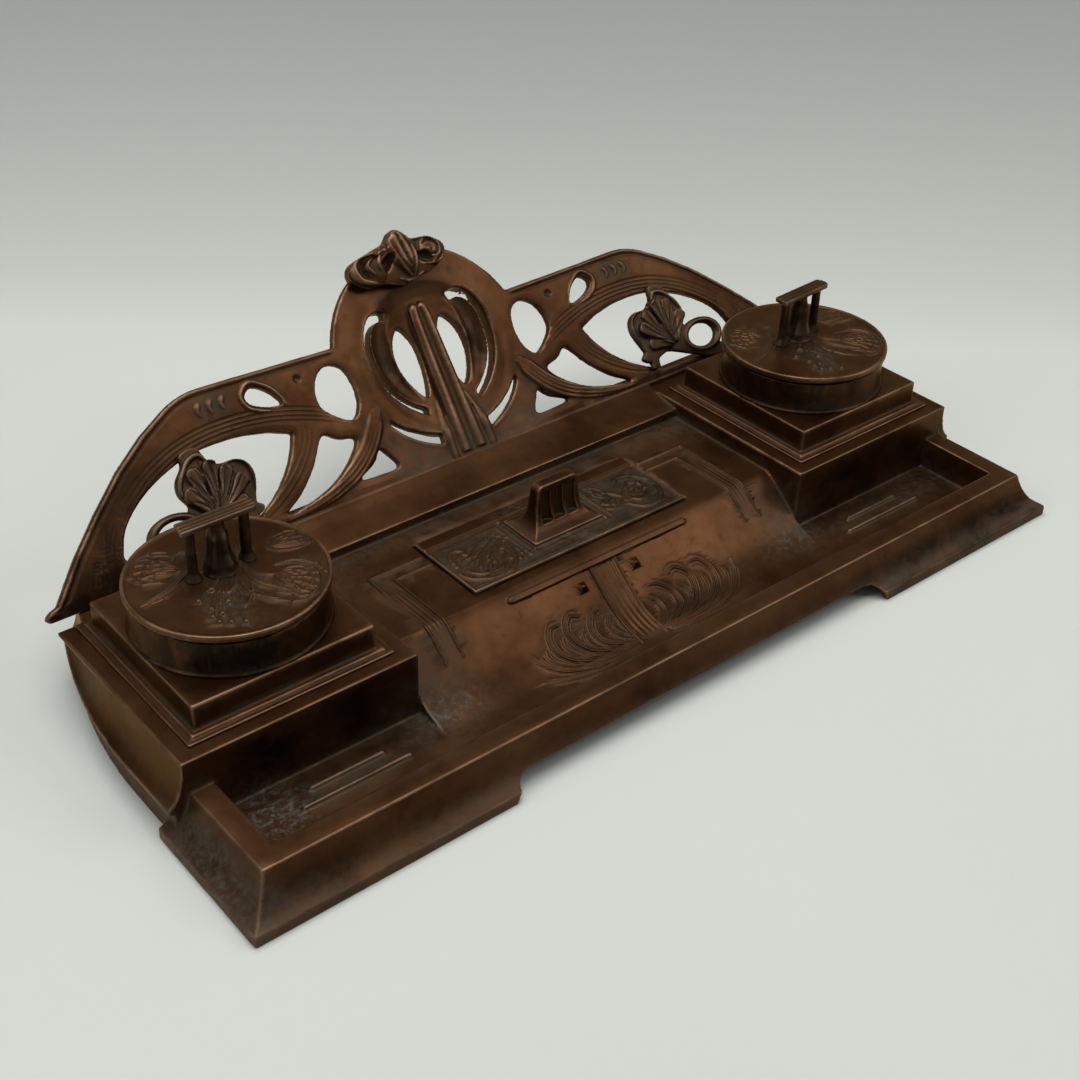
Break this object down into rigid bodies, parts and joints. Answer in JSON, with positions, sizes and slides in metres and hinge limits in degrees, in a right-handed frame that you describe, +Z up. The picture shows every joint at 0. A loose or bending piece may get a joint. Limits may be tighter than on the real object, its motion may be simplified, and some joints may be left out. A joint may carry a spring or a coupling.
{
  "type": "desk inkstand",
  "caption": "Cast bronze desk inkstand with a pen tray, lidded ink glasses on square plinths, a lidded nib box and a pierced gallery that leans back.",
  "frame": {"origin": "middle of the footprint, on the table", "axes": "+X to the right along the front, +Y towards the gallery at the back, +Z up"},
  "size_m": [0.38, 0.199, 0.1079],
  "materials": {
    "bronze": "brown patinated bronze, worn at the edges",
    "dark_bronze": "dark patinated bronze with grey-green recesses",
    "glass": "clear pressed glass",
    "brass": "dull sheet brass",
    "steel": "dull steel"
  },
  "bodies": {
    "base": {"base_casting": "bronze", "plinth_left": "bronze", "plinth_right": "bronze", "collar_left": "bronze", "collar_right": "bronze", "gallery": "bronze", "crest_boss": "dark_bronze", "blossom_left": "dark_bronze", "blossom_right": "dark_bronze", "gallery_screws": "steel", "plinth_screws": "steel", "nib_well": "brass"},
    "ink_glass_left": {"liner_left": "glass"},
    "ink_glass_right": {"liner_right": "glass"},
    "ink_lid_left": {"lid_left": "bronze", "handle_left": "dark_bronze", "lid_rivets_left": "brass"},
    "ink_lid_right": {"lid_right": "bronze", "handle_right": "dark_bronze", "lid_rivets_right": "brass"},
    "nib_cover": {"nib_lid": "bronze", "nib_knob": "dark_bronze", "nib_knob_screw": "steel"}
  },
  "joints": [
    {"name": "ink_glass_left_lift", "type": "slide", "parent": "base", "child": "ink_glass_left", "axis": [0, 0, 1], "range_m": [0, 0.05]},
    {"name": "ink_glass_right_lift", "type": "slide", "parent": "base", "child": "ink_glass_right", "axis": [0, 0, 1], "range_m": [0, 0.05]},
    {"name": "ink_lid_left_lift", "type": "slide", "parent": "ink_glass_left", "child": "ink_lid_left", "axis": [0, 0, 1], "range_m": [0, 0.03]},
    {"name": "ink_lid_right_lift", "type": "slide", "parent": "ink_glass_right", "child": "ink_lid_right", "axis": [0, 0, 1], "range_m": [0, 0.03]},
    {"name": "nib_cover_lift", "type": "slide", "parent": "base", "child": "nib_cover", "axis": [0, 0, 1], "range_m": [0, 0.03]}
  ]
}
